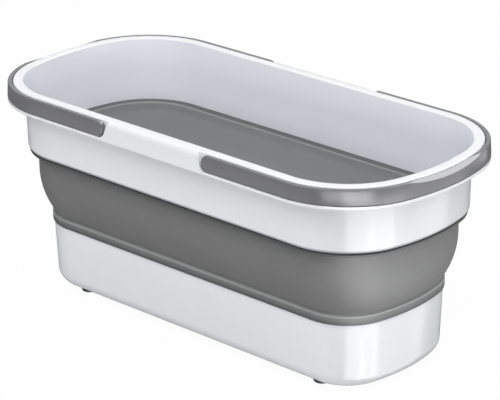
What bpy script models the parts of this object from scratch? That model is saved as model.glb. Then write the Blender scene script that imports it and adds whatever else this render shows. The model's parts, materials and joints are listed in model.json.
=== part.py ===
# Collapsible bucket: two rigid shells joined by a soft folding band, with two bail handles on the rim
# and four foot pads. Metres, +Z up, long side along X, origin on the ground under the middle.

import math

import bmesh
import bpy
from mathutils import Matrix, Vector

# Rim seen from above, measured to the outer edge of the lip. The long sides are straight, the ends bowed.
RIM_LENGTH = 0.420
RIM_WIDTH = 0.1945
CORNER_RADIUS = 0.0708
END_RADIUS = 0.1842

# Heights, stacked from the ground to the top of the rim
FOOT_STAND = 0.003
BASE_HEIGHT = 0.0561
COLLAR_HEIGHT = 0.0098
BAND_HEIGHT = 0.0562
SHELL_HEIGHT = 0.0579

# Clearances
SEAM = 0.0003
HANDLE_GAP = 0.0006
LEDGE_GAP = 0.0005
PEG_GAP = 0.0003

# Upper shell: how far its wall stands in from the lip, its wall, its down-turned rim
SHELL_INSET = 0.0098
SHELL_DRAFT = 0.0007
SHELL_WALL = 0.0025
SHELL_EDGE_RADIUS = 0.0040
LIP_WIDTH = 0.0087
LIP_EDGE_RADIUS = 0.0011
FLARE_DEPTH = 0.0160
FLARE_RADIUS = 0.0200
SKIRT_PROUD = 0.0034
SKIRT_FLARE = 0.0014
SKIRT_DEPTH = 0.0162
SHOULDER_RADIUS = 0.0048
WEB = 0.0030
HOLLOW_ROUND = 0.7
FLANGE_REACH = 0.0065

# Handles: bars that wrap each end, with round ends pivoting on the long sides
HANDLE_HEIGHT = 0.0126
HANDLE_DROP = 0.0004
HANDLE_WALL = 0.0036
HANDLE_DRAFT = 0.0007
HANDLE_EDGE = 0.0008
HANDLE_END = 0.0046
HANDLE_CORNER = 0.0056
GRIP_DEPTH = 0.0036
GRIP_WIDTH = 0.0054
PIVOT_X = 0.0586
PEG_RADIUS = 0.0030
BARB_REACH = 0.0008
BARB_LENGTH = 0.0020
RELIEF_LEAN = math.radians(17.5)

# Folding band: collar on the base, curved wall, ledge inside the upper shell
LEDGE_STEP = 0.0083
LEDGE_THICKNESS = 0.0018
LEDGE_BEAD = 0.0027
LIP_THICKNESS = 0.0016
LIP_INSET = 0.0013
BAND_WALL = 0.0022
HINGE_WALL = 0.0015
BAND_TAPER = 0.0114
BAND_CURVE = 0.037
BAND_STEPS = 6
COLLAR_PROUD = 0.0016
COLLAR_CROWN = 0.0018
COLLAR_ROUND = 0.0024
COLLAR_LEG = 0.0017

# Base shell: wall under the collar, tongue inside the collar, rounded foot and raised floor panel
COLLAR_LAP = 0.0013
BASE_DRAFT = 0.0022
BASE_WALL = 0.0025
BASE_FILLET = 0.0130
TONGUE_THICKNESS = 0.0013
TONGUE_HEIGHT = 0.0078
TONGUE_SHOULDER = 0.0009
PANEL_MARGIN = 0.0300
PANEL_RAISE = 0.0012
PANEL_SLOPE = 0.0025

# Foot pads, set into round pockets in the corners of the underside
FOOT_RADIUS = 0.0070
FOOT_IN_X = 0.079
FOOT_IN_Y = 0.048
FOOT_EDGE = 0.0010
POCKET_DEPTH = 0.0015

# How finely round shapes are cut
CORNER_STEPS = 9
END_STEPS = 2
FILLET_STEPS = 3
ROUND_STEPS = 6
PEG_SIDES = 20
FOOT_SIDES = 20
MERGE = 0.00001
SHARP = math.radians(32.0)

# Colours and surface of the materials
WHITE_PLASTIC = ((0.80, 0.81, 0.83, 1.0), 0.34)
GREY_RUBBER = ((0.165, 0.165, 0.170, 1.0), 0.62)
GREY_PLASTIC = ((0.175, 0.176, 0.185, 1.0), 0.42)
DARK_RUBBER = ((0.030, 0.030, 0.033, 1.0), 0.75)

# Heights and insets that follow from the values above
BASE_Z = FOOT_STAND
COLLAR_Z = BASE_Z + BASE_HEIGHT
NECK_Z = COLLAR_Z + COLLAR_HEIGHT
SHELL_Z = NECK_Z + BAND_HEIGHT
TOP_Z = SHELL_Z + SHELL_HEIGHT
PIVOT_Z = TOP_Z - HANDLE_DROP - HANDLE_HEIGHT / 2
HALF_WIDTH = RIM_WIDTH / 2
FOOT_X = RIM_LENGTH / 2 - FOOT_IN_X
FOOT_Y = HALF_WIDTH - FOOT_IN_Y

SHELL_FOOT_INSET = SHELL_INSET + SHELL_DRAFT
BAND_INSET = SHELL_FOOT_INSET + LEDGE_STEP
NECK_INSET = BAND_INSET + BAND_TAPER
COLLAR_INSET = NECK_INSET - COLLAR_PROUD
BASE_INSET = COLLAR_INSET + COLLAR_LAP
HANDLE_OUT = HANDLE_GAP + HANDLE_WALL


def new_collection(name):
    collection = bpy.data.collections.new(name)
    bpy.context.scene.collection.children.link(collection)
    return collection


def plastic(name, finish):
    material = bpy.data.materials.new(name)
    material.use_nodes = True
    shader = material.node_tree.nodes["Principled BSDF"]
    shader.inputs["Base Color"].default_value = finish[0]
    shader.inputs["Roughness"].default_value = finish[1]
    shader.inputs["Metallic"].default_value = 0.0
    material.diffuse_color = finish[0]
    return material


def filleted(corners, closed):
    """Turn corners (x, y, radius) into a line whose corners are arcs."""
    line = []
    count = len(corners)
    for i, (x, y, radius) in enumerate(corners):
        here = Vector((x, y))
        is_end = not closed and i in (0, count - 1)
        if radius <= 0.0 or is_end:
            line.append(here)
            continue
        back = Vector(corners[i - 1][:2]) - here
        ahead = Vector(corners[(i + 1) % count][:2]) - here
        half = back.angle(ahead) / 2
        room = 0.49 * min(back.length, ahead.length)
        radius = min(radius, room * math.tan(half))
        centre = here + (back.normalized() + ahead.normalized()).normalized() * radius / math.sin(half)
        start = here + back.normalized() * radius / math.tan(half) - centre
        turn = math.pi - 2 * half
        sign = 1.0 if back.cross(ahead) < 0.0 else -1.0
        steps = max(2, round(FILLET_STEPS * turn / (math.pi / 2)))
        for k in range(steps + 1):
            line.append(centre + Matrix.Rotation(sign * turn * k / steps, 2) @ start)
    return line


def rim_quarter():
    """The rim's outline from the middle of the +X end to the end of the straight side, at +Y."""
    end_turn = math.asin((HALF_WIDTH - CORNER_RADIUS) / (END_RADIUS - CORNER_RADIUS))
    end_centre = Vector((RIM_LENGTH / 2 - END_RADIUS, 0.0))
    from_end = Vector((math.cos(end_turn), math.sin(end_turn)))
    corner_centre = end_centre + (END_RADIUS - CORNER_RADIUS) * from_end
    line = []
    for k in range(END_STEPS):
        angle = end_turn * k / END_STEPS
        line.append(end_centre + END_RADIUS * Vector((math.cos(angle), math.sin(angle))))
    for k in range(CORNER_STEPS + 1):
        angle = end_turn + (math.pi / 2 - end_turn) * k / CORNER_STEPS
        line.append(corner_centre + CORNER_RADIUS * Vector((math.cos(angle), math.sin(angle))))
    return line


def rim_half():
    """The outline round the +X end, from the straight side at -Y to the one at +Y."""
    upper = rim_quarter()
    lower = [Vector((point.x, -point.y)) for point in upper[:0:-1]]
    return lower + upper


def rim_loop():
    right = rim_half()
    left = [Vector((-point.x, -point.y)) for point in right]
    return right + left


def curve_object(name, line, closed, collection):
    curve = bpy.data.curves.new(name, "CURVE")
    curve.dimensions = "2D"
    curve.fill_mode = "NONE"
    spline = curve.splines.new("POLY")
    spline.points.add(len(line) - 1)
    for point, place in zip(spline.points, line):
        point.co = (place[0], place[1], 0.0, 1.0)
    spline.use_cyclic_u = closed
    item = bpy.data.objects.new(name, curve)
    collection.objects.link(item)
    return item


def mesh_from(item, name, collection):
    """Replace a curve object by the mesh that it draws, with its loose seams merged."""
    bpy.context.view_layer.update()
    evaluated = item.evaluated_get(bpy.context.evaluated_depsgraph_get())
    mesh = bpy.data.meshes.new_from_object(evaluated)
    place = item.matrix_world.copy()
    bpy.data.objects.remove(item)
    edit = bmesh.new()
    edit.from_mesh(mesh)
    bmesh.ops.remove_doubles(edit, verts=edit.verts, dist=MERGE)
    open_edges = [edge for edge in edit.edges if edge.is_boundary]
    if open_edges:
        bmesh.ops.holes_fill(edit, edges=open_edges, sides=0)
    bmesh.ops.recalc_face_normals(edit, faces=edit.faces)
    edit.to_mesh(mesh)
    edit.free()
    mesh.materials.clear()
    solid = bpy.data.objects.new(name, mesh)
    solid.matrix_world = place
    collection.objects.link(solid)
    return solid


def swept(name, path, path_closed, profile, profile_closed, collection):
    """Sweep a profile of (distance out from the rim's outline, height) along a path seen from above."""
    # A closed flat path is always followed clockwise, which puts its outer side on the other hand.
    hand = -1.0 if path_closed else 1.0
    line = [(hand * place[0], place[1]) for place in profile]
    section = curve_object(name + "_section", line, profile_closed, collection)
    rail = curve_object(name + "_rail", path, path_closed, collection)
    rail.data.bevel_mode = "OBJECT"
    rail.data.bevel_object = section
    rail.data.use_fill_caps = not path_closed
    solid = mesh_from(rail, name, collection)
    bpy.data.objects.remove(section)
    return solid


def extruded(name, outline, depth, collection):
    """A flat outline in the XZ plane, thickened along Y about y = 0."""
    item = curve_object(name, outline, True, collection)
    item.data.fill_mode = "BOTH"
    item.data.extrude = depth / 2
    item.rotation_euler = (math.pi / 2, 0.0, 0.0)
    return mesh_from(item, name, collection)


def lying_rod(name, x, y_from, y_to, z, radius_from, radius_to, collection):
    """A rod or cone along Y, radius_from at y_from and radius_to at y_to."""
    edit = bmesh.new()
    bmesh.ops.create_cone(
        edit,
        cap_ends=True,
        segments=PEG_SIDES,
        radius1=radius_from,
        radius2=radius_to,
        depth=abs(y_to - y_from),
    )
    turn = Matrix.Rotation(-math.copysign(math.pi / 2, y_to - y_from), 4, "X")
    bmesh.ops.transform(edit, matrix=turn, verts=edit.verts)
    mesh = bpy.data.meshes.new(name)
    edit.to_mesh(mesh)
    edit.free()
    item = bpy.data.objects.new(name, mesh)
    item.location = (x, (y_from + y_to) / 2, z)
    collection.objects.link(item)
    return item


def boolean(item, operation, tool):
    step = item.modifiers.new(operation.title() + " " + tool.name, "BOOLEAN")
    step.operation = operation
    step.object = tool
    step.solver = "EXACT"
    tool.hide_render = True
    tool.display_type = "WIRE"


def shade(item, material):
    """Give a finished piece its material and smooth faces, and merge the corners that cuts leave doubled."""
    if item.modifiers:
        weld = item.modifiers.new("Merge doubled corners", "WELD")
        weld.merge_threshold = MERGE
    item.data.materials.append(material)
    item.data.shade_smooth()
    item.data.set_sharp_from_angle(angle=SHARP)


def arc_points(x, z, radius, start, stop, steps):
    angles = [start + (stop - start) * k / steps for k in range(steps + 1)]
    return [(x + radius * math.cos(angle), z + radius * math.sin(angle)) for angle in angles]


def shell_profile():
    """Section of the upper shell: lip, hollow down-turned rim, flared wall and the flange for the band."""
    skirt_foot = TOP_Z - SKIRT_DEPTH
    roof = TOP_Z - SHELL_WALL
    flare = TOP_Z - FLARE_DEPTH
    flange_top = SHELL_Z + SHELL_WALL
    return [
        (-LIP_WIDTH, TOP_Z, LIP_EDGE_RADIUS),
        (SKIRT_PROUD, TOP_Z, SHOULDER_RADIUS),
        (SKIRT_PROUD + SKIRT_FLARE, skirt_foot, SHELL_WALL / 3),
        (-WEB, skirt_foot, 0.0),
        (-WEB, roof, 0.0),
        (-LIP_WIDTH + SHELL_WALL, roof, 0.0),
        (-SHELL_INSET, flare, FLARE_RADIUS),
        (-SHELL_FOOT_INSET, SHELL_Z, SHELL_EDGE_RADIUS),
        (-SHELL_FOOT_INSET - FLANGE_REACH, SHELL_Z, 0.0),
        (-SHELL_FOOT_INSET - FLANGE_REACH, flange_top, 0.0),
        (-SHELL_FOOT_INSET - SHELL_WALL, flange_top, 0.0),
        (-SHELL_INSET - SHELL_WALL, flare, FLARE_RADIUS),
    ]


def recess_outline():
    """Side view of the room for a handle at +X: round its pivot, then leaning away past upright."""
    reach = HANDLE_HEIGHT / 2 + LEDGE_GAP
    below = PIVOT_Z - reach - LEDGE_GAP
    above = TOP_Z + SHELL_WALL
    turn = math.pi / 2 - RELIEF_LEAN
    start = -math.pi / 2 - turn / ROUND_STEPS
    line = [(RIM_LENGTH, below), (PIVOT_X, below)]
    line += arc_points(PIVOT_X, PIVOT_Z, reach, start, -math.pi / 2 - turn, ROUND_STEPS)
    line += [(relief_x(above), above), (RIM_LENGTH, above)]
    return line


def relief_x(height):
    """Where the leaning end of a handle's recess lies at a height."""
    reach = HANDLE_HEIGHT / 2 + LEDGE_GAP
    return PIVOT_X - reach / math.cos(RELIEF_LEAN) - (height - PIVOT_Z) * math.tan(RELIEF_LEAN)


def recess_cutter(side, collection):
    """Room for one handle, cut into the rim: everything outside the lip's outline above the ledge."""
    edge = SHELL_WALL / 2
    floor = PIVOT_Z - HANDLE_HEIGHT / 2 - LEDGE_GAP
    above = TOP_Z + SHELL_WALL
    outside = SKIRT_PROUD + SKIRT_FLARE + HANDLE_OUT
    profile = [(0.0, floor)]
    for k in range(FILLET_STEPS + 1):
        angle = math.pi / 2 * k / FILLET_STEPS
        profile.append((edge * (math.cos(angle) - 1.0), TOP_Z + edge * (math.sin(angle) - 1.0)))
    profile += [(-edge, above), (outside, above), (outside, floor)]
    start = relief_x(above) - SHELL_WALL
    path = [Vector((start, -HALF_WIDTH))] + rim_half() + [Vector((start, HALF_WIDTH))]
    if side < 0:
        path = [Vector((-point.x, -point.y)) for point in path]
    cutter = swept("recess_cutter", path, False, profile, True, collection)
    outline = [(side * x, z) for x, z in recess_outline()]
    shape = extruded("recess_shape", outline, 2 * RIM_WIDTH, collection)
    boolean(cutter, "INTERSECT", shape)
    return cutter


def rim_hollow(side, collection):
    """The hollow behind the skirt between the two handles, on one long side, open underneath."""
    inner = side * (HALF_WIDTH - WEB - SEAM)
    outer = side * (HALF_WIDTH + SKIRT_PROUD + SKIRT_FLARE / 2 - SHELL_WALL)
    half_length = relief_x(TOP_Z) - SHELL_WALL
    roof = TOP_Z - SHELL_WALL - SEAM
    floor = TOP_Z - SKIRT_DEPTH - SHELL_WALL
    edit = bmesh.new()
    bmesh.ops.create_cube(edit, size=1.0)
    size = Vector((2 * half_length, abs(outer - inner), roof - floor))
    bmesh.ops.scale(edit, vec=size, verts=edit.verts)
    upper_outer = [
        edge
        for edge in edit.edges
        if all(vert.co.z > 0 and vert.co.y * side > 0 for vert in edge.verts)
    ]
    bmesh.ops.bevel(
        edit,
        geom=upper_outer,
        offset=HOLLOW_ROUND * size.y,
        segments=FILLET_STEPS,
        profile=0.5,
        affect="EDGES",
    )
    mesh = bpy.data.meshes.new("rim_hollow")
    edit.to_mesh(mesh)
    edit.free()
    item = bpy.data.objects.new("rim_hollow", mesh)
    item.location = (0.0, (inner + outer) / 2, (roof + floor) / 2)
    collection.objects.link(item)
    return item


def upper_shell(parts, cutters):
    shell = swept("upper_shell", rim_loop(), True, filleted(shell_profile(), True), True, parts)
    bore = PEG_RADIUS + PEG_GAP
    for side in (-1, 1):
        boolean(shell, "DIFFERENCE", recess_cutter(side, cutters))
        boolean(shell, "DIFFERENCE", rim_hollow(side, cutters))
    for side_x in (-1, 1):
        for side_y in (-1, 1):
            inner = side_y * (HALF_WIDTH - WEB - PEG_RADIUS / 2)
            outer = side_y * (HALF_WIDTH + HANDLE_GAP)
            tool = lying_rod("peg_bore", side_x * PIVOT_X, inner, outer, PIVOT_Z, bore, bore, cutters)
            boolean(shell, "DIFFERENCE", tool)
    shade(shell, plastic("white_polypropylene", WHITE_PLASTIC))
    return shell


def band_wall_at(height):
    """Inset of the band's outer face: upright under the ledge, then curving in to the neck."""
    radius = (BAND_CURVE**2 + BAND_TAPER**2) / (2 * BAND_TAPER)
    below = min(max(NECK_Z + BAND_CURVE - height, 0.0), BAND_CURVE)
    return BAND_INSET + radius - math.sqrt(radius**2 - below**2)


def band_profile():
    """Section of the band: slotted collar, thin folding wall, and a groove that grips the shell's flange."""
    lip_top = SHELL_Z - SEAM
    lip_foot = lip_top - LIP_THICKNESS
    flange_reach = SHELL_FOOT_INSET + FLANGE_REACH
    ledge_foot = SHELL_Z + SHELL_WALL + SEAM
    ledge_top = ledge_foot + LEDGE_THICKNESS
    ledge_in = BAND_INSET + LEDGE_BEAD
    collar_foot = COLLAR_Z + SEAM
    tongue_out = BASE_INSET + TONGUE_SHOULDER - SEAM
    tongue_in = BASE_INSET + TONGUE_SHOULDER + TONGUE_THICKNESS + SEAM
    collar_in = tongue_in + COLLAR_LEG
    slot_top = COLLAR_Z + TONGUE_HEIGHT + SEAM
    heights = [NECK_Z + (lip_foot - NECK_Z) * k / BAND_STEPS for k in range(BAND_STEPS + 1)]

    def thickness(height):
        bulge = math.sin(math.pi * (height - NECK_Z) / (lip_foot - NECK_Z))
        return HINGE_WALL + (BAND_WALL - HINGE_WALL) * max(bulge, 0.0)

    corners = [
        (-tongue_out, collar_foot, 0.0),
        (-COLLAR_INSET, collar_foot, COLLAR_ROUND * 2 / 3),
        (-COLLAR_INSET, NECK_Z - COLLAR_CROWN, COLLAR_ROUND),
    ]
    corners += [(-band_wall_at(z), z, 0.0) for z in heights]
    corners += [
        (-SHELL_FOOT_INSET - LIP_INSET, lip_foot, LIP_THICKNESS / 3),
        (-SHELL_FOOT_INSET - LIP_INSET, lip_top, LIP_THICKNESS / 3),
        (-flange_reach - SEAM, lip_top, 0.0),
        (-flange_reach - SEAM, ledge_foot, 0.0),
        (-SHELL_FOOT_INSET - SHELL_WALL - SEAM, ledge_foot, 0.0),
        (-SHELL_FOOT_INSET - SHELL_WALL - SEAM, ledge_top, 0.0),
        (-ledge_in, ledge_top, LEDGE_THICKNESS / 2),
        (-ledge_in, ledge_foot, 0.0),
    ]
    corners += [(-band_wall_at(z) - thickness(z), z, 0.0) for z in reversed(heights[1:])]
    corners += [
        (-max(collar_in, NECK_INSET + HINGE_WALL), NECK_Z - COLLAR_ROUND, 0.0),
        (-max(collar_in, NECK_INSET + HINGE_WALL), collar_foot, COLLAR_LEG / 4),
        (-tongue_in, collar_foot, 0.0),
        (-tongue_in, slot_top, 0.0),
        (-tongue_out, slot_top, 0.0),
    ]
    return corners


def folding_band(parts):
    band = swept("folding_band", rim_loop(), True, filleted(band_profile(), True), True, parts)
    shade(band, plastic("grey_elastomer", GREY_RUBBER))
    return band


def base_profile():
    """Section of the base from the floor, up inside the wall, over the tongue and down to the underside."""
    foot_inset = BASE_INSET + BASE_DRAFT
    panel_inset = foot_inset + PANEL_MARGIN
    floor = BASE_Z + BASE_WALL
    return [
        (-panel_inset - 2 * PANEL_SLOPE, floor + PANEL_RAISE, 0.0),
        (-panel_inset - PANEL_SLOPE, floor + PANEL_RAISE, 0.0),
        (-panel_inset, floor, 0.0),
        (-foot_inset - BASE_WALL, floor, BASE_FILLET - BASE_WALL),
        (-BASE_INSET - BASE_WALL, COLLAR_Z, 0.0),
        (-BASE_INSET - TONGUE_SHOULDER - TONGUE_THICKNESS, COLLAR_Z, 0.0),
        (-BASE_INSET - TONGUE_SHOULDER - TONGUE_THICKNESS, COLLAR_Z + TONGUE_HEIGHT, 0.0),
        (-BASE_INSET - TONGUE_SHOULDER, COLLAR_Z + TONGUE_HEIGHT, 0.0),
        (-BASE_INSET - TONGUE_SHOULDER, COLLAR_Z, 0.0),
        (-BASE_INSET, COLLAR_Z, SEAM),
        (-foot_inset, BASE_Z, BASE_FILLET),
        (-panel_inset, BASE_Z, 0.0),
        (-panel_inset - PANEL_SLOPE, BASE_Z + PANEL_RAISE, 0.0),
        (-panel_inset - 2 * PANEL_SLOPE, BASE_Z + PANEL_RAISE, 0.0),
    ]


def upright_rod(name, x, y, z_from, z_to, radius, edge, collection):
    edit = bmesh.new()
    bmesh.ops.create_cone(
        edit,
        cap_ends=True,
        segments=FOOT_SIDES,
        radius1=radius,
        radius2=radius,
        depth=z_to - z_from,
    )
    mesh = bpy.data.meshes.new(name)
    edit.to_mesh(mesh)
    edit.free()
    item = bpy.data.objects.new(name, mesh)
    item.location = (x, y, (z_from + z_to) / 2)
    collection.objects.link(item)
    if edge > 0.0:
        bevel = item.modifiers.new("Rounded edges", "BEVEL")
        bevel.width = edge
        bevel.segments = 2
        bevel.limit_method = "ANGLE"
    return item


def base_shell(parts, cutters):
    base = swept("base_shell", rim_loop(), True, filleted(base_profile(), False), False, parts)
    for side_x in (-1, 1):
        for side_y in (-1, 1):
            pocket = upright_rod(
                "foot_pocket",
                side_x * FOOT_X,
                side_y * FOOT_Y,
                BASE_Z - FOOT_STAND,
                BASE_Z + POCKET_DEPTH,
                FOOT_RADIUS + SEAM,
                0.0,
                cutters,
            )
            boolean(base, "DIFFERENCE", pocket)
    shade(base, plastic("white_polypropylene_base", WHITE_PLASTIC))
    return base


def foot_pads(parts):
    corners = {
        "foot_front_left": (-1, -1),
        "foot_front_right": (1, -1),
        "foot_rear_left": (-1, 1),
        "foot_rear_right": (1, 1),
    }
    for name, (side_x, side_y) in corners.items():
        top = BASE_Z + POCKET_DEPTH - SEAM
        pad = upright_rod(
            name, side_x * FOOT_X, side_y * FOOT_Y, BASE_Z - FOOT_STAND, top, FOOT_RADIUS, FOOT_EDGE, parts
        )
        shade(pad, plastic(name + "_rubber", DARK_RUBBER))


def handle(name, side, parts, cutters):
    """A bar round one end of the rim, on an empty in its hinge line. Pegs snap through the rim's web."""
    foot = PIVOT_Z - HANDLE_HEIGHT / 2
    top = PIVOT_Z + HANDLE_HEIGHT / 2
    profile = [
        (HANDLE_GAP, foot, HANDLE_EDGE / 2),
        (HANDLE_OUT + HANDLE_DRAFT, foot, HANDLE_EDGE),
        (HANDLE_OUT, top, HANDLE_EDGE),
        (HANDLE_GAP, top, HANDLE_EDGE / 2),
    ]
    start = PIVOT_X - HANDLE_HEIGHT
    path = [Vector((start, -HALF_WIDTH))] + rim_half() + [Vector((start, HALF_WIDTH))]
    if side < 0:
        path = [Vector((-point.x, -point.y)) for point in path]
    bar = swept(name, path, False, filleted(profile, True), True, parts)

    # The side view that rounds the bar's ends leaves its straight edges alone.
    quarter = math.pi / 2
    step = quarter / ROUND_STEPS
    corner_x = PIVOT_X - HANDLE_END + HANDLE_CORNER
    outline = [(RIM_LENGTH, foot - HANDLE_EDGE), (PIVOT_X, foot - HANDLE_EDGE)]
    outline += arc_points(
        PIVOT_X, foot + HANDLE_END, HANDLE_END, -quarter - step, -2 * quarter, ROUND_STEPS
    )
    outline += arc_points(
        corner_x, top - HANDLE_CORNER, HANDLE_CORNER, -2 * quarter, -3 * quarter + step, ROUND_STEPS
    )
    outline += [(corner_x, top + HANDLE_EDGE), (RIM_LENGTH, top + HANDLE_EDGE)]
    outline = [(side * x, z) for x, z in outline]
    boolean(bar, "INTERSECT", extruded(name + "_side_view", outline, 2 * RIM_WIDTH, cutters))

    # A flat cut across the bowed end leaves a grip for the palm that fades out towards the corners.
    grip_out = RIM_LENGTH / 2 + HANDLE_OUT
    outline = [
        (grip_out - 2 * GRIP_WIDTH, top + GRIP_DEPTH),
        (grip_out + GRIP_WIDTH, top - 2 * GRIP_DEPTH),
        (grip_out + GRIP_WIDTH, top + GRIP_DEPTH),
    ]
    outline = [(side * x, z) for x, z in outline]
    boolean(bar, "DIFFERENCE", extruded(name + "_grip", outline, RIM_WIDTH, cutters))

    for side_y in (-1, 1):
        root = side_y * (HALF_WIDTH + HANDLE_GAP + HANDLE_WALL / 2)
        neck = side_y * (HALF_WIDTH - WEB - LEDGE_GAP)
        tip = side_y * (HALF_WIDTH - WEB - LEDGE_GAP - BARB_LENGTH)
        x = side * PIVOT_X
        peg_end = neck + (tip - neck) / 4
        peg = lying_rod(name + "_peg", x, root, peg_end, PIVOT_Z, PEG_RADIUS, PEG_RADIUS, cutters)
        wide = PEG_RADIUS + BARB_REACH
        narrow = PEG_RADIUS - BARB_REACH
        barb = lying_rod(name + "_barb", x, neck, tip, PIVOT_Z, wide, narrow, cutters)
        boolean(bar, "UNION", peg)
        boolean(bar, "UNION", barb)
    hinge = bpy.data.objects.new(name + "_hinge", None)
    hinge.location = (side * PIVOT_X, 0.0, PIVOT_Z)
    parts.objects.link(hinge)
    bar.parent = hinge
    bar.matrix_parent_inverse = Matrix.Translation(-hinge.location)
    shade(bar, plastic(name + "_polypropylene", GREY_PLASTIC))
    return bar


def main():
    for item in list(bpy.data.objects):
        bpy.data.objects.remove(item)
    parts = new_collection("collapsible_bucket")
    cutters = new_collection("cutters")
    upper_shell(parts, cutters)
    folding_band(parts)
    base_shell(parts, cutters)
    foot_pads(parts)
    handle("left_handle", -1, parts, cutters)
    handle("right_handle", 1, parts, cutters)


main()
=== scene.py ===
import json
import math

import bmesh
import bpy
from mathutils import Matrix, Vector


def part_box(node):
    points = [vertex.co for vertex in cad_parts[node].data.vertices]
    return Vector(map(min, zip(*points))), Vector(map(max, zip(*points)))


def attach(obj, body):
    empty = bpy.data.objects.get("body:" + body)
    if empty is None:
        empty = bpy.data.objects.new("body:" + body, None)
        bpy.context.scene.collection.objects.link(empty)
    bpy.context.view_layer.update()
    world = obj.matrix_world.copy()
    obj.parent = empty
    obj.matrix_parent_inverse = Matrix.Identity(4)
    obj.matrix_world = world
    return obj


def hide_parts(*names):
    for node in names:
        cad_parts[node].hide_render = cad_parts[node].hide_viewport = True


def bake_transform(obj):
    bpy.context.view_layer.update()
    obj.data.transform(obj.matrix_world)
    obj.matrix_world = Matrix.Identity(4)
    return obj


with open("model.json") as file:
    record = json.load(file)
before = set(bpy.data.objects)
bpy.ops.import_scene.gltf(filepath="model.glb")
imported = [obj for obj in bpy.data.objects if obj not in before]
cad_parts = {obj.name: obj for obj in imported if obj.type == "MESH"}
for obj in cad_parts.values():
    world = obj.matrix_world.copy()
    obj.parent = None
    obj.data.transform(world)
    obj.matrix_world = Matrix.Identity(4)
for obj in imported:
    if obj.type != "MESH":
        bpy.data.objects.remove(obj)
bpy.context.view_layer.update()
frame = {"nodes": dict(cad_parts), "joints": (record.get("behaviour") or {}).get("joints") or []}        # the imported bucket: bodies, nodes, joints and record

# Collapsible bucket: finer shells, band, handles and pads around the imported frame, in metres, +Z up.
# Every ring of the bucket is a section swept round the same rim outline: "out" is the distance outwards
# from that outline, so walls further in have a negative out.

rimOutline = {
    "length": 0.420,
    "width": 0.1945,
    "cornerRadius": 0.0708,
    "endRadius": 0.1842,
    "cornerSteps": 22,
    "endSteps": 6,
}
halfWidth = rimOutline["width"] / 2
endTurn = math.asin(
    (halfWidth - rimOutline["cornerRadius"]) / (rimOutline["endRadius"] - rimOutline["cornerRadius"])
)
endCentre = Vector((rimOutline["length"] / 2 - rimOutline["endRadius"], 0, 0))
cornerCentre = endCentre + Matrix.Rotation(-endTurn, 3, "Z") @ Vector(
    (rimOutline["endRadius"] - rimOutline["cornerRadius"], 0, 0)
)

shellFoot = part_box("upper_shell")[0].z
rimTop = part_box("upper_shell")[1].z
collarFoot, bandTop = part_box("folding_band")[0].z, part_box("folding_band")[1].z
baseFoot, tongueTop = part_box("base_shell")[0].z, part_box("base_shell")[1].z
joints = {joint["name"]: joint for joint in frame["joints"]}
neck = joints["collapse"]["deforming_nodes"][0]["fixed_end_z_m"]
pivot = Vector(joints["right_handle_swing"]["pos_m"])
seam = 0.0003             # gap between neighbouring pieces
mirrorReach = 1e-6        # corners this near the mirror plane become one
doubleReach = 2e-6        # corners this near each other become one
cornerShare = 0.49        # a rounding takes at most this much of the shorter side


# Helpers for shapes

def wireSection(bm, corners, closed=True, perQuarter=5):
    """Draw a section as a wire at the start of the first corner, with its corners rounded."""
    place = [Vector((cornerCentre.x, -(halfWidth + out), height)) for out, height, radius in corners]
    verts = [bm.verts.new(co) for co in place]
    for here, ahead in zip(verts, verts[1:]):
        bm.edges.new((here, ahead))
    if closed:
        bm.edges.new((verts[-1], verts[0]))
    for vert, corner in zip(verts, corners):
        if corner[2] > 0:
            roundCorner(bm, vert, corner[2], perQuarter)


def roundCorner(bm, vert, radius, perQuarter):
    sides = [edge.other_vert(vert).co - vert.co for edge in vert.link_edges]
    half = sides[0].angle(sides[1]) / 2
    offset = min(radius / math.tan(half), cornerShare * min(side.length for side in sides))
    steps = max(3, round(perQuarter * (math.pi - 2 * half) / (math.pi / 2)))
    bmesh.ops.bevel(
        bm, geom=[vert], offset=offset, offset_type="OFFSET", segments=steps, profile=0.5,
        affect="VERTICES", clamp_overlap=True, material=-1,
    )


def sweepQuarter(bm, middle):
    """Pull the wire section back along the straight side to x = middle, and round the corner and end."""
    section = bm.verts[:] + bm.edges[:]
    pulled = bmesh.ops.extrude_edge_only(bm, edges=bm.edges[:])
    pulledVerts = [item for item in pulled["geom"] if isinstance(item, bmesh.types.BMVert)]
    bmesh.ops.translate(bm, verts=pulledVerts, vec=(middle - cornerCentre.x, 0, 0))
    corner = bmesh.ops.spin(
        bm, geom=section, cent=cornerCentre, axis=(0, 0, 1), angle=math.pi / 2 - endTurn,
        steps=rimOutline["cornerSteps"], use_merge=False,
    )
    bmesh.ops.spin(
        bm, geom=corner["geom_last"], cent=endCentre, axis=(0, 0, 1), angle=endTurn,
        steps=rimOutline["endSteps"], use_merge=False,
    )


def mirrorAcross(bm, axis):
    everything = bm.verts[:] + bm.edges[:] + bm.faces[:]
    bmesh.ops.mirror(bm, geom=everything, matrix=Matrix.Identity(4), merge_dist=mirrorReach, axis=axis)


def closeUp(bm):
    """Merge doubled corners, fill open ends and turn all faces outwards."""
    bmesh.ops.remove_doubles(bm, verts=bm.verts, dist=doubleReach)
    openEdges = [edge for edge in bm.edges if edge.is_boundary]
    if openEdges:
        bmesh.ops.holes_fill(bm, edges=openEdges, sides=0)
    bmesh.ops.recalc_face_normals(bm, faces=bm.faces)


def ringAround(corners, closed=True, perQuarter=5):
    bm = bmesh.new()
    wireSection(bm, corners, closed, perQuarter)
    sweepQuarter(bm, 0.0)
    mirrorAcross(bm, "Y")
    mirrorAcross(bm, "X")
    closeUp(bm)
    return bm


def bailAround(corners, start):
    """A bar round the +X end only, from x = start on one long side to x = start on the other."""
    bm = bmesh.new()
    wireSection(bm, corners)
    sweepQuarter(bm, start)
    mirrorAcross(bm, "Y")
    closeUp(bm)
    return bm


def finished(bm, name):
    mesh = bpy.data.meshes.new(name)
    bm.to_mesh(mesh)
    bm.free()
    piece = bpy.data.objects.new(name, mesh)
    bpy.context.scene.collection.objects.link(piece)
    return piece


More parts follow.
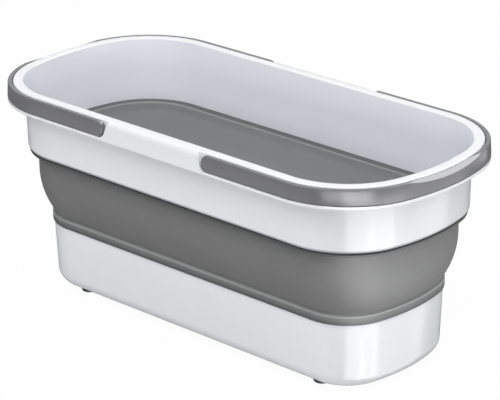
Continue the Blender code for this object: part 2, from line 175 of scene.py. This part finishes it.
def carve(piece, tool, operation):
    """Apply one Boolean step and throw the tool away."""
    step = piece.modifiers.new("carve", "BOOLEAN")
    step.operation = operation
    step.object = tool
    step.solver = "EXACT"
    bpy.context.view_layer.update()
    mesh = bpy.data.meshes.new_from_object(piece.evaluated_get(bpy.context.evaluated_depsgraph_get()))
    piece.modifiers.clear()
    piece.data = mesh
    bpy.data.objects.remove(tool)


def smooth(piece, degrees=35):
    piece.data.shade_smooth()
    piece.data.set_sharp_from_angle(angle=math.radians(degrees))


def looksIn(face):
    return face.normal.x * face.center.x + face.normal.y * face.center.y < 0


def looksUp(face):
    return face.normal.z > 0.9


def mark(piece, name, share):
    """Write a share from 0 to 1 on each face, for a material to read."""
    marks = piece.data.attributes.new(name, "FLOAT", "FACE")
    for face, value in zip(piece.data.polygons, marks.data):
        value.value = float(share(face))


def sideShape(points, name):
    """A flat side view in the XZ plane, pulled through the whole width of the bucket."""
    bm = bmesh.new()
    face = bm.faces.new([bm.verts.new((x, -2 * halfWidth, z)) for x, z in points])
    pulled = bmesh.ops.extrude_face_region(bm, geom=[face])
    verts = [item for item in pulled["geom"] if isinstance(item, bmesh.types.BMVert)]
    bmesh.ops.translate(bm, verts=verts, vec=(0, 4 * halfWidth, 0))
    bmesh.ops.recalc_face_normals(bm, faces=bm.faces)
    return finished(bm, name)


def lyingRod(name, x, yFrom, yTo, z, radiusFrom, radiusTo, sides=40):
    bm = bmesh.new()
    bmesh.ops.create_cone(
        bm, cap_ends=True, segments=sides, radius1=radiusFrom, radius2=radiusTo, depth=abs(yTo - yFrom)
    )
    turn = Matrix.Rotation(-math.copysign(math.pi / 2, yTo - yFrom), 4, "X")
    bmesh.ops.transform(bm, matrix=Matrix.Translation((x, (yFrom + yTo) / 2, z)) @ turn, verts=bm.verts)
    return finished(bm, name)


# Helpers for materials

def colour(hexCode):
    """sRGB hex code to linear RGBA."""
    def linear(value):
        return value / 12.92 if value <= 0.04045 else ((value + 0.055) / 1.055) ** 2.4
    return tuple(linear(int(hexCode[i:i + 2], 16) / 255) for i in (1, 3, 5)) + (1.0,)


def addNode(tree, kind, settings=None, **links):
    """Add a node, set its properties and plug values or other nodes' outputs into its inputs."""
    node = tree.nodes.new(kind)
    for key, value in (settings or {}).items():
        setattr(node, key, value)
    for key, value in links.items():
        numbered = key[0] == "i" and key[1:].isdigit()
        socket = node.inputs[int(key[1:]) if numbered else key.replace("_", " ")]
        if isinstance(value, bpy.types.NodeSocket):
            tree.links.new(value, socket)
        else:
            socket.default_value = value
    return node


def newMaterial(name):
    material = bpy.data.materials.new(name)
    material.use_nodes = True
    return material, material.node_tree, material.node_tree.nodes["Principled BSDF"]


def noise(tree, place, size, detail, roughness):
    """Noise whose features are about a given size in metres."""
    texture = addNode(
        tree, "ShaderNodeTexNoise", Vector=place, Scale=1 / size, Detail=detail, Roughness=roughness
    )
    return texture.outputs["Fac"]


def spread(tree, value, source, target):
    """Map a value from one range to another, held at its ends."""
    mapped = addNode(
        tree, "ShaderNodeMapRange", Value=value, From_Min=source[0], From_Max=source[1],
        To_Min=target[0], To_Max=target[1],
    )
    return mapped.outputs["Result"]


def tinted(tree, share, below, above):
    """Lay one colour over another by a share."""
    return addNode(tree, "ShaderNodeMix", {"data_type": "RGBA"}, i0=share, i6=below, i7=above).outputs[2]


def mouldedSurface(name, finish):
    """A moulded polymer: faintly clouded colour, a fine eroded-mould texture and a few rubbed places."""
    material, tree, shader = newMaterial(name)
    place = addNode(tree, "ShaderNodeTexCoord").outputs["Object"]
    cloud = noise(tree, place, finish["cloudSize"], detail=3.0, roughness=0.55)
    grain = noise(tree, place, finish["grainSize"], detail=2.0, roughness=0.6)
    rub = noise(tree, place, finish["rubSize"], detail=6.0, roughness=0.7)
    wearAndPaintedLight = spread(tree, rub, finish["rubEdge"], (0.0, 1.0))
    worn = addNode(tree, "ShaderNodeMath", {"operation": "MULTIPLY"}, i0=wearAndPaintedLight, i1=finish["rubAmount"])
    shade = tinted(tree, cloud, colour(finish["colour"]), colour(finish["clouded"]))
    shade = tinted(tree, worn.outputs[0], shade, colour(finish["wearAndPaintedLight"]))
    # Painted light and painted shade, marked face by face on the pieces, are laid over the colour.
    for markName in ("paintedLight", "paintedShade"):
        marked = addNode(tree, "ShaderNodeAttribute", {"attribute_name": markName})
        shade = tinted(tree, marked.outputs["Fac"], shade, colour(finish[markName]))
    tree.links.new(shade, shader.inputs["Base Color"])
    smoothest = finish["roughness"] - finish["roughnessSpread"]
    roughest = finish["roughness"] + finish["roughnessSpread"]
    tree.links.new(spread(tree, rub, finish["rubRange"], (smoothest, roughest)), shader.inputs["Roughness"])
    bump = addNode(
        tree, "ShaderNodeBump", Height=grain, Strength=finish["grainStrength"],
        Distance=finish["grainDepth"],
    )
    tree.links.new(bump.outputs["Normal"], shader.inputs["Normal"])
    shader.inputs["IOR"].default_value = finish["ior"]
    shader.inputs["Specular IOR Level"].default_value = finish["specular"]
    return material


def dress(piece, material):
    piece.data.materials.clear()
    piece.data.materials.append(material)


# Upper shell: white polypropylene, injection-moulded, satin from a fine eroded mould

upperShell = {
    "inset": 0.0098,
    "draft": 0.0007,
    "wall": 0.0025,
    "edgeRadius": 0.0040,
    "lip": 0.0087,
    "lipRadius": 0.0011,
    "flareDepth": 0.0160,
    "flareRadius": 0.3000,
    "skirtProud": 0.0034,
    "skirtFlare": 0.0014,
    "skirtDepth": 0.0162,
    "shoulderRadius": 0.0048,
    "web": 0.0030,
    "flange": 0.0065,
    "webEdge": 0.00125,
    "lean": math.radians(17.5),
    "ledgeGap": 0.0005,
    "boreRadius": 0.0033,
    "arris": 0.0003,
    "hollowRound": 0.7,
    "hollowDrop": 0.0005,
    "seamShadeShare": 1.3,
    "webSteps": 5,
    "endSteps": 12,
}
# The handles' sizes stand here because the shell's recesses are cut to them.
handleBar = {
    "height": 0.0126,
    "gap": 0.0006,
    "wall": 0.0036,
    "draft": 0.0007,
    "edge": 0.0008,
    "lowerRound": 0.0046,
    "upperRound": 0.0056,
    "gripDepth": 0.0036,
    "gripWidth": 0.0054,
    "pegRadius": 0.0030,
    "barbReach": 0.0008,
    "barbLength": 0.0020,
    "endSteps": 8,
    "innerSteps": 4,
    "outerSteps": 6,
}
recessReach = handleBar["height"] / 2 + upperShell["ledgeGap"]


def leaningEnd(height):
    """Where the leaning end of a handle's recess lies at a height."""
    lean = upperShell["lean"]
    return pivot.x - recessReach / math.cos(lean) - (height - pivot.z) * math.tan(lean)


def shellSection():
    s = upperShell
    skirtFoot = rimTop - s["skirtDepth"]
    roof = rimTop - s["wall"]
    flare = rimTop - s["flareDepth"]
    wallFoot = -s["inset"] - s["draft"]
    flangeTop = shellFoot + s["wall"]
    return [
        (-s["lip"], rimTop, s["lipRadius"]),
        (s["skirtProud"], rimTop, s["shoulderRadius"]),
        (s["skirtProud"] + s["skirtFlare"], skirtFoot, s["wall"] / 3),
        (-s["web"], skirtFoot, s["arris"]),
        (-s["web"], roof, s["wall"] / 3),
        (-s["lip"] + s["wall"], roof, s["wall"] / 3),
        (-s["inset"], flare, s["flareRadius"]),
        (wallFoot, shellFoot, s["edgeRadius"]),
        (wallFoot - s["flange"], shellFoot, 0),
        (wallFoot - s["flange"], flangeTop, 0),
        (wallFoot - s["wall"], flangeTop, 0),
        (-s["inset"] - s["wall"], flare, s["flareRadius"]),
    ]


def recessTool(side):
    """What a handle's recess takes away: a ledge round one end, with round ends that lean away."""
    s = upperShell
    floor = pivot.z - recessReach
    above = rimTop + s["wall"]
    outside = 3 * (s["skirtProud"] + s["skirtFlare"])
    edge = s["webEdge"]
    corners = [
        (0.0, floor, 0),
        (0.0, rimTop - edge, 0),
    ]
    for k in range(1, s["webSteps"] + 1):
        angle = math.pi / 2 * k / s["webSteps"]
        corners.append((edge * (math.cos(angle) - 1), rimTop + edge * (math.sin(angle) - 1), 0))
    corners += [(-edge, above, 0), (outside, above, 0), (outside, floor, 0)]
    bar = finished(bailAround(corners, leaningEnd(above) - s["wall"]), "recessTool")
    below = floor - s["ledgeGap"]
    turn = math.pi / 2 - s["lean"]
    outline = [(rimOutline["length"], below), (pivot.x, below)]
    for k in range(1, s["endSteps"] + 1):
        angle = -math.pi / 2 - turn * k / s["endSteps"]
        outline.append((pivot.x + recessReach * math.cos(angle), pivot.z + recessReach * math.sin(angle)))
    outline += [(leaningEnd(above), above), (rimOutline["length"], above)]
    carve(bar, sideShape(outline, "recessShape"), "INTERSECT")
    if side < 0:
        turnRound(bar)
    return bar


def turnRound(piece):
    """Turn a piece made for the +X end half round, to the -X end."""
    piece.data.transform(Matrix.Rotation(math.pi, 4, "Z"))


def hollowTool(side):
    """The hollow behind the skirt between the handles, open underneath."""
    s = upperShell
    inner = halfWidth - s["web"] - seam
    outer = halfWidth + s["skirtProud"] + s["skirtFlare"] / 2 - s["wall"]
    half = leaningEnd(rimTop) - s["wall"]
    roof = rimTop - s["wall"] - s["hollowDrop"]
    floor = rimTop - s["skirtDepth"] - s["wall"]
    bm = bmesh.new()
    bmesh.ops.create_cube(bm, size=1.0)
    bmesh.ops.scale(bm, vec=(2 * half, outer - inner, roof - floor), verts=bm.verts)
    outerTop = [
        edge for edge in bm.edges if all(vert.co.z > 0 and vert.co.y * side > 0 for vert in edge.verts)
    ]
    bmesh.ops.bevel(
        bm, geom=outerTop, offset=s["hollowRound"] * (outer - inner), segments=6, profile=0.5,
        affect="EDGES", material=-1,
    )
    bmesh.ops.translate(bm, verts=bm.verts, vec=(0, side * (inner + outer) / 2, (roof + floor) / 2))
    return finished(bm, "hollowTool")


def makeUpperShell():
    s = upperShell
    shell = finished(ringAround(shellSection()), "upperShell")
    for side in (-1, 1):
        carve(shell, recessTool(side), "DIFFERENCE")
        carve(shell, hollowTool(side), "DIFFERENCE")
    for sideX in (-1, 1):
        for sideY in (-1, 1):
            inner = sideY * (halfWidth - 1.5 * s["web"])
            outer = sideY * (halfWidth + handleBar["gap"])
            radius = s["boreRadius"]
            tool = lyingRod("boreTool", sideX * pivot.x, inner, outer, pivot.z, radius, radius)
            carve(shell, tool, "DIFFERENCE")

    def inside(face):
        return looksIn(face) and face.center.z < rimTop - s["lipRadius"]

    def seamPaintedShade(face):
        """Painted shade on the rounded lower edge, darkest at its foot and fading out upwards."""
        if looksIn(face) or face.center.z > shellFoot + s["edgeRadius"]:
            return 0
        return min(s["seamShadeShare"] * (1 - (face.center.z - shellFoot) / s["edgeRadius"]), 1)

    # Painted light: faces looking in get a paler, bluer colour that stands in for light bounced about
    # inside the shell.
    mark(shell, "paintedLight", inside)
    # Painted shade: the rounded lower edge is painted darker towards its foot.
    mark(shell, "paintedShade", seamPaintedShade)
    smooth(shell)
    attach(shell, "rim")
    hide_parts("upper_shell")
    print("upper shell", len(shell.data.polygons), "faces")
    return shell


# Folding band: grey elastomer, one moulding

foldingBand = {
    "ledgeStep": 0.0083,
    "ledgeThickness": 0.0018,
    "ledgeBead": 0.0027,
    "lipThickness": 0.0022,
    "lipInset": 0.0013,
    "wall": 0.0022,
    "hinge": 0.0015,
    "taper": 0.0114,
    "curve": 0.037,
    "collarProud": 0.0016,
    "collarStep": 0.0016,
    "collarBead": 0.0018,
    "collarRound": 0.0012,
    "collarLeg": 0.0017,
    "legDrop": 0.0024,
    "legRound": 0.0005,
    "innerRound": 0.0006,
    "arris": 0.0003,
    "lipShade": 0.75,
    "ledgeShade": 0.45,
    "footShadePower": 1.5,
    "collarSteps": 6,
    "wallSteps": 36,
}
# The base's sizes stand here because the band's collar seats on it.
baseShell = {
    "lap": 0.0013,
    "draft": 0.0022,
    "wall": 0.0025,
    "fillet": 0.0130,
    "tongue": 0.0013,
    "shoulder": 0.0009,
    "panelMargin": 0.0300,
    "panelRaise": 0.0012,
    "panelSlope": 0.0025,
    "panelRound": 0.002,
    "arris": 0.0003,
}
wallFootInset = upperShell["inset"] + upperShell["draft"]
bandInset = wallFootInset + foldingBand["ledgeStep"]
neckInset = bandInset + foldingBand["taper"]
collarInset = neckInset - foldingBand["collarProud"]
baseInset = collarInset + baseShell["lap"]
bandLipTop = shellFoot - seam
bandLipFoot = bandLipTop - foldingBand["lipThickness"]
beadTop = neck - foldingBand["collarStep"]
beadFoot = beadTop - foldingBand["collarBead"]


def bandFace(height):
    """Inset of the band's outer face: upright under the ledge, then curving in to the neck."""
    b = foldingBand
    radius = (b["curve"] ** 2 + b["taper"] ** 2) / (2 * b["taper"])
    below = min(max(neck + b["curve"] - height, 0.0), b["curve"])
    return bandInset + radius - math.sqrt(radius ** 2 - below ** 2)


def bandThickness(height):
    b = foldingBand
    bulge = math.sin(math.pi * (height - neck) / (bandLipFoot - neck))
    return b["hinge"] + (b["wall"] - b["hinge"]) * max(bulge, 0.0)


def bandSection():
    b = foldingBand
    flangeReach = wallFootInset + upperShell["flange"]
    ledgeFoot = shellFoot + upperShell["wall"] + seam
    ledgeTop = bandTop
    ledgeIn = bandInset + b["ledgeBead"]
    ledgeOut = wallFootInset + upperShell["wall"] + seam
    tongueOut = baseInset + baseShell["shoulder"] - seam
    tongueIn = tongueOut + baseShell["tongue"] + 2 * seam
    collarIn = max(tongueIn + b["collarLeg"], neckInset + b["hinge"])
    slotTop = tongueTop + seam
    steps = b["wallSteps"]
    heights = [neck + (bandLipFoot - neck) * k / steps for k in range(steps + 1)]
    corners = [
        (-tongueOut, collarFoot, 0),
        (-collarInset, collarFoot, b["collarRound"]),
    ]
    for k in range(2, b["collarSteps"] + 1):
        corners.append((-collarInset, collarFoot + (beadFoot - collarFoot) * k / b["collarSteps"], 0))
    corners += [
        (-collarInset, beadTop, b["collarRound"]),
        (-neckInset, beadTop, b["collarRound"] / 4),
    ]
    corners += [(-bandFace(z), z, 0) for z in heights]
    corners += [
        (-wallFootInset - b["lipInset"], bandLipFoot, b["lipThickness"] / 3),
        (-wallFootInset - b["lipInset"], bandLipTop, b["lipThickness"] / 3),
        (-flangeReach - seam, bandLipTop, 0),
        (-flangeReach - seam, ledgeFoot, 0),
        (-ledgeOut, ledgeFoot, 0),
        (-ledgeOut, ledgeTop, b["arris"]),
        (-ledgeIn, ledgeTop, b["ledgeThickness"] / 2),
        (-ledgeIn, ledgeFoot, b["innerRound"]),
    ]
    corners += [(-bandFace(z) - bandThickness(z), z, 0) for z in reversed(heights[1:])]
    corners += [
        (-collarIn, neck - b["legDrop"], b["legRound"]),
        (-collarIn, collarFoot, b["collarLeg"] / 4),
        (-tongueIn, collarFoot, 0),
        (-tongueIn, slotTop, 0),
        (-tongueOut, slotTop, 0),
    ]
    return corners


def makeFoldingBand():
    band = finished(ringAround(bandSection()), "foldingBand")

    def wearAndPaintedLight(face):
        """Painted light: the inside is painted paler as if better lit, and the bead of the collar gets a
        painted highlight.
        """
        return looksIn(face) or beadFoot < face.center.z < beadTop + seam

    def paintedShade(face):
        """Painted shade darkens the ledge inside, the lip under the shell and the foot of the collar."""
        ledge = looksUp(face) and face.center.z > shellFoot
        lip = not looksIn(face) and bandLipFoot < face.center.z < bandLipTop
        if lip:
            return foldingBand["lipShade"]
        if ledge:
            return foldingBand["ledgeShade"]
        if looksIn(face) or face.center.z > beadFoot:
            return 0
        depth = (beadFoot - face.center.z) / (beadFoot - collarFoot)
        return depth ** foldingBand["footShadePower"]

    # Painted light on the inside and the bead of the collar; painted shade on the ledge, the lip and the
    # foot of the collar.
    mark(band, "paintedLight", wearAndPaintedLight)
    mark(band, "paintedShade", paintedShade)
    smooth(band)
    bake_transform(band)
    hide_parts("folding_band")
    print("folding band", len(band.data.polygons), "faces")
    return band


# Base shell: the same white polypropylene, with a rounded foot and a slightly raised floor panel

def baseSection():
    s = baseShell
    footInset = baseInset + s["draft"]
    panel = footInset + s["panelMargin"]
    floor = baseFoot + s["wall"]
    wallTop = collarFoot - seam
    return [
        (-panel - 2 * s["panelSlope"], floor + s["panelRaise"], 0),
        (-panel - s["panelSlope"], floor + s["panelRaise"], s["panelRound"]),
        (-panel, floor, s["panelRound"]),
        (-footInset - s["wall"], floor, s["fillet"] - s["wall"]),
        (-baseInset - s["wall"], wallTop, 0),
        (-baseInset - s["shoulder"] - s["tongue"], wallTop, 0),
        (-baseInset - s["shoulder"] - s["tongue"], tongueTop, s["arris"]),
        (-baseInset - s["shoulder"], tongueTop, s["arris"]),
        (-baseInset - s["shoulder"], wallTop, 0),
        (-baseInset, wallTop, s["arris"]),
        (-footInset, baseFoot, s["fillet"]),
        (-panel, baseFoot, s["panelRound"]),
        (-panel - s["panelSlope"], baseFoot + s["panelRaise"], s["panelRound"]),
        (-panel - 2 * s["panelSlope"], baseFoot + s["panelRaise"], 0),
    ]


footPad = {
    "edge": 0.0012,
    "sides": 48,
    "sharpAngle": 1.0,
}


def padCentre(node):
    low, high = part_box(node)
    return (low + high) / 2, (high.x - low.x) / 2, low.z, high.z


padNodes = sorted(name for name in frame["nodes"] if name.startswith("foot_"))


def makeBaseShell():
    base = finished(ringAround(baseSection(), closed=False, perQuarter=9), "baseShell")
    for node in padNodes:
        centre, radius, low, high = padCentre(node)
        bm = bmesh.new()
        bmesh.ops.create_cone(
            bm, cap_ends=True, segments=footPad["sides"], radius1=radius + seam, radius2=radius + seam,
            depth=high + seam - low,
        )
        bmesh.ops.translate(bm, verts=bm.verts, vec=(centre.x, centre.y, (high + seam + low) / 2))
        carve(base, finished(bm, "pocketTool"), "DIFFERENCE")
    smooth(base)
    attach(base, "base")
    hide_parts("base_shell")
    print("base shell", len(base.data.polygons), "faces")
    return base


def makeFootPad(node):
    centre, radius, low, high = padCentre(node)
    bm = bmesh.new()
    bmesh.ops.create_cone(
        bm, cap_ends=True, segments=footPad["sides"], radius1=radius, radius2=radius, depth=high - low
    )
    rims = [edge for edge in bm.edges if edge.calc_face_angle() > footPad["sharpAngle"]]
    bmesh.ops.bevel(
        bm, geom=rims, offset=footPad["edge"], segments=4, profile=0.5, affect="EDGES", material=-1
    )
    bmesh.ops.translate(bm, verts=bm.verts, vec=(centre.x, centre.y, (low + high) / 2))
    pad = finished(bm, node.replace("foot_", "pad_"))
    smooth(pad)
    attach(pad, "base")
    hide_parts(node)
    return pad


# Handles: grey polypropylene bars with rounded ends that turn on snap pegs

def railStops():
    """Points and outward directions along the outline, from the middle of the +X end to the side at -Y."""
    r = rimOutline
    stops = []
    for k in range(r["endSteps"]):
        outward = Matrix.Rotation(-endTurn * k / r["endSteps"], 3, "Z") @ Vector((1, 0, 0))
        stops.append((endCentre + r["endRadius"] * outward, outward))
    for k in range(r["cornerSteps"] + 1):
        angle = endTurn + (math.pi / 2 - endTurn) * k / r["cornerSteps"]
        outward = Matrix.Rotation(-angle, 3, "Z") @ Vector((1, 0, 0))
        stops.append((cornerCentre + r["cornerRadius"] * outward, outward))
    return stops


def barEdge(stops, roundX, edgeZ, radius, upwards):
    """A long edge of the bar's side view and its quarter-circle end, as places, directions and heights."""
    out = Vector((0, -1, 0))
    line = [(place, outward, edgeZ) for place, outward in stops]
    steps = handleBar["endSteps"]
    for k in range(steps + 1):
        angle = math.pi / 2 * k / steps
        x = roundX - radius * math.sin(angle)
        line.append((Vector((x, -halfWidth, 0)), out, edgeZ - upwards * radius * (1 - math.cos(angle))))
    return line


def makeHandle(name, side, body, node):
    h = handleBar
    foot = pivot.z - h["height"] / 2
    top = pivot.z + h["height"] / 2
    upperX = pivot.x - h["lowerRound"] + h["upperRound"]
    stops = railStops()
    # Each layer is the bar's side view at one depth, drawn in near the two faces to round their edges.
    layers = []
    for k in range(h["innerSteps"] + 1):
        angle = math.pi / 2 * k / h["innerSteps"]
        drawn = h["edge"] / 2 * (1 - math.sin(angle))
        layers.append((h["gap"] + h["edge"] / 2 * (1 - math.cos(angle)), drawn))
    for k in range(h["outerSteps"] + 1):
        angle = math.pi / 2 * k / h["outerSteps"]
        drawn = h["edge"] * (1 - math.cos(angle))
        layers.append((h["gap"] + h["wall"] - h["edge"] * (1 - math.sin(angle)), drawn))
    bm = bmesh.new()
    loops = []
    for out, drawn in layers:
        upper = barEdge(stops, upperX, top - drawn, h["upperRound"] - drawn, 1)
        lower = barEdge(stops, pivot.x, foot + drawn, h["lowerRound"] - drawn, -1)
        loop = []
        for place, outward, z in upper + lower[::-1]:
            lean = h["draft"] * (out - h["gap"]) / h["wall"] * (top - z) / h["height"]
            loop.append(bm.verts.new(place + outward * (out + lean) + Vector((0, 0, z))))
        loops.append(loop)
    for inner, outer in zip(loops, loops[1:]):
        for a, b, c, d in zip(inner, inner[1:], outer[1:], outer):
            bm.faces.new((a, b, c, d))
    for loop in (loops[0], loops[-1]):
        half = len(loop) // 2
        for k in range(half - 1):
            bm.faces.new((loop[k], loop[k + 1], loop[-k - 2], loop[-k - 1]))
    mirrorAcross(bm, "Y")
    closeUp(bm)
    bar = finished(bm, name)

    # The grip is a flat cut that fades out along the bowed end.
    gripOut = rimOutline["length"] / 2 + h["gap"] + h["wall"]
    facet = [
        (gripOut - 2 * h["gripWidth"], top + h["gripDepth"]),
        (gripOut + h["gripWidth"], top - 2 * h["gripDepth"]),
        (gripOut + h["gripWidth"], top + h["gripDepth"]),
    ]
    carve(bar, sideShape(facet, "gripTool"), "DIFFERENCE")
    for sideY in (-1, 1):
        root = sideY * (halfWidth + h["gap"] + h["wall"] / 2)
        shoulder = sideY * (halfWidth - upperShell["web"] - upperShell["ledgeGap"])
        tip = shoulder - sideY * h["barbLength"]
        pegEnd = shoulder + (tip - shoulder) / 4
        radius, reach = h["pegRadius"], h["barbReach"]
        peg = lyingRod("peg", pivot.x, root, pegEnd, pivot.z, radius, radius)
        barb = lyingRod("barb", pivot.x, shoulder, tip, pivot.z, radius + reach, radius - reach)
        carve(bar, peg, "UNION")
        carve(bar, barb, "UNION")
    if side < 0:
        turnRound(bar)
    smooth(bar)
    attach(bar, body)
    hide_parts(node)
    print(name, len(bar.data.polygons), "faces")
    return bar


# Finishes. Polypropylene is slightly waxy: an even body colour with a soft, broad gloss.

whiteFinish = {
    "colour": "#EAEBED",
    "clouded": "#E6E7E9",
    "wearAndPaintedLight": "#EFF0F1",
    # A paler, bluer colour of painted light for the inside of the shell, and a grey colour of painted shade
    # for its rounded lower edge.
    "paintedLight": "#F0F2F9",
    "paintedShade": "#7E8082",
    "rubAmount": 0.25,
    "rubEdge": (0.52, 0.72),
    "rubRange": (0.3, 0.7),
    "cloudSize": 0.060,
    "grainSize": 0.0009,     # eroded-mould grain is about 0.1 mm: drawn coarser so that it shows
    "grainDepth": 0.00004,
    "grainStrength": 0.25,
    "rubSize": 0.020,
    "roughness": 0.18,
    "roughnessSpread": 0.03,
    "ior": 1.49,
    "specular": 0.5,
}
# The handles are the same plastic in grey, and a little duller.
handleFinish = dict(
    whiteFinish, colour="#727275", clouded="#6E6E71", wearAndPaintedLight="#7A7B7E", roughness=0.24, rubAmount=0.3
)
# A soft thermoplastic elastomer is dull, with paler marks where it has been rubbed. It also carries a paler
# colour of painted light and a dark colour of painted shade.
bandFinish = dict(
    whiteFinish, colour="#747474", clouded="#707070", wearAndPaintedLight="#7C7C7C", paintedLight="#949595", paintedShade="#3A3B3C",
    roughness=0.54, rubAmount=0.35, grainStrength=0.4,
)
# Filled rubber is nearly matt and dark.
padFinish = dict(
    whiteFinish, colour="#2E2E30", clouded="#29292B", wearAndPaintedLight="#3A3A3C", roughness=0.75, rubAmount=0.4
)

whitePolypropylene = mouldedSurface("whitePolypropylene", whiteFinish)
greyPolypropylene = mouldedSurface("greyPolypropylene", handleFinish)
greyElastomer = mouldedSurface("greyElastomer", bandFinish)
darkRubber = mouldedSurface("darkRubber", padFinish)
print("materials made")

dress(makeUpperShell(), whitePolypropylene)
dress(makeBaseShell(), whitePolypropylene)
dress(makeFoldingBand(), greyElastomer)
dress(makeHandle("leftHandle", -1, "left_bail", "left_handle"), greyPolypropylene)
dress(makeHandle("rightHandle", 1, "right_bail", "right_handle"), greyPolypropylene)
for padNode in padNodes:
    dress(makeFootPad(padNode), darkRubber)
print("pieces made")


# Floor, light and camera

studio = {
    "floorSize": 12.0,
    "floorColour": "#F4F4F5",
    "shadowShare": 0.05,
    "worldColour": "#F2F4F8",
    "worldStrength": 0.14,
    "lampAim": (0.0, 0.0, 0.1),
}
lamps = {
    "top": {"place": (0.0, 0.0, 1.9), "size": (1.6, 1.6), "watts": 5},
    "back": {"place": (-0.78, 0.84, 1.74), "size": (1.2, 1.2), "watts": 11.5},
    "right": {"place": (1.27, 0.22, 1.63), "size": (1.2, 1.2), "watts": 12},
    "front": {"place": (0.98, -1.02, 1.51), "size": (1.2, 1.2), "watts": 11},
    "left": {"place": (-0.54, -1.17, 1.63), "size": (1.2, 1.2), "watts": 15.5},
    "rightLow": {"place": (1.93, 0.52, 0.27), "size": (1.6, 1.0), "watts": 6},
    "frontFoot": {"place": (1.23, -1.27, -0.84), "size": (2.0, 1.2), "watts": 4},
    "leftFoot": {"place": (-0.75, -1.60, -0.84), "size": (2.0, 1.2), "watts": 6},
}
# Cards that only show as streaks in glossy surfaces: upright walls seen from above mirror what stands low.
cards = {
    "cornerCard": {"place": (1.16, -0.67, -0.77), "size": (0.9, 1.3), "watts": 15},
    "rightCard": {"place": (1.34, 0.05, -0.77), "size": (0.9, 1.3), "watts": 18},
    "endCard": {"place": (1.06, 0.83, -0.77), "size": (1.1, 1.3), "watts": 9},
    "handleCardA": {"place": (0.94, -1.50, -0.21), "size": (0.9, 0.35), "watts": 6},
    "handleCardB": {"place": (1.44, -1.04, -0.21), "size": (0.9, 0.35), "watts": 9},
    "handleCardC": {"place": (0.55, 1.66, -0.24), "size": (0.7, 0.35), "watts": 1.3},
    "gripCard": {"place": (0.22, 1.23, 1.40), "size": (1.1, 0.9), "watts": 24},
    "backCard": {"place": (-1.28, 1.35, 0.85), "size": (2.0, 0.7), "watts": 3},
}
camera = {
    "place": (1.2707, -1.3387, 0.8346),
    "aim": (0.0, 0.0, 0.0930),
    "roll": -0.606,
    "lens": 176.6,
    "sensor": 36.0,
    "shift": (0.0164, 0.0196),
    "reach": 50.0,
}


def makeFloor():
    bm = bmesh.new()
    bmesh.ops.create_grid(bm, x_segments=1, y_segments=1, size=studio["floorSize"] / 2)
    floor = finished(bm, "floor")
    material = bpy.data.materials.new("paleFloor")
    material.use_nodes = True
    tree = material.node_tree
    tree.nodes.clear()
    body = addNode(tree, "ShaderNodeBsdfDiffuse", Color=colour(studio["floorColour"]))
    glow = addNode(tree, "ShaderNodeEmission", Color=(1, 1, 1, 1), Strength=1.0)
    path = addNode(tree, "ShaderNodeLightPath")
    share = addNode(
        tree, "ShaderNodeMath", {"operation": "MULTIPLY"}, i0=path.outputs["Is Camera Ray"],
        i1=1 - studio["shadowShare"],
    )
    mix = addNode(tree, "ShaderNodeMixShader", i0=share.outputs[0], i1=body.outputs[0], i2=glow.outputs[0])
    addNode(tree, "ShaderNodeOutputMaterial", Surface=mix.outputs[0])
    dress(floor, material)
    # Some lamps and cards stand lower than the floor, so it neither blocks nor mirrors their light.
    floor.visible_shadow = False
    floor.visible_glossy = False


def makeWorld():
    world = bpy.data.worlds.new("studio")
    bpy.context.scene.world = world
    world.use_nodes = True
    tree = world.node_tree
    tree.nodes.clear()
    room = addNode(
        tree, "ShaderNodeBackground", Color=colour(studio["worldColour"]), Strength=studio["worldStrength"]
    )
    white = addNode(tree, "ShaderNodeBackground", Color=(1, 1, 1, 1), Strength=1.0)
    path = addNode(tree, "ShaderNodeLightPath")
    mix = addNode(
        tree, "ShaderNodeMixShader", i0=path.outputs["Is Camera Ray"], i1=room.outputs[0],
        i2=white.outputs[0],
    )
    addNode(tree, "ShaderNodeOutputWorld", Surface=mix.outputs[0])


def makeLamp(name, lamp, lights):
    data = bpy.data.lights.new(name, "AREA")
    data.energy = lamp["watts"]
    data.shape = "RECTANGLE"
    data.size, data.size_y = lamp["size"]
    item = bpy.data.objects.new(name, data)
    item.location = lamp["place"]
    item.rotation_euler = (Vector(studio["lampAim"]) - item.location).to_track_quat("-Z", "Y").to_euler()
    item.visible_diffuse = lights
    bpy.context.scene.collection.objects.link(item)


def makeCamera():
    data = bpy.data.cameras.new("camera")
    data.lens = camera["lens"]
    data.sensor_width = camera["sensor"]
    data.shift_x, data.shift_y = camera["shift"]
    data.clip_end = camera["reach"]
    item = bpy.data.objects.new("camera", data)
    item.location = camera["place"]
    look = (Vector(camera["aim"]) - item.location).to_track_quat("-Z", "Y").to_matrix()
    item.rotation_euler = (look @ Matrix.Rotation(math.radians(camera["roll"]), 3, "Z")).to_euler()
    bpy.context.scene.collection.objects.link(item)
    bpy.context.scene.camera = item


makeFloor()
makeWorld()
for lampName, lamp in lamps.items():
    makeLamp(lampName, lamp, lights=True)
for cardName, card in cards.items():
    makeLamp(cardName, card, lights=False)
makeCamera()
bpy.context.scene.view_settings.view_transform = "Standard"
print("studio made")
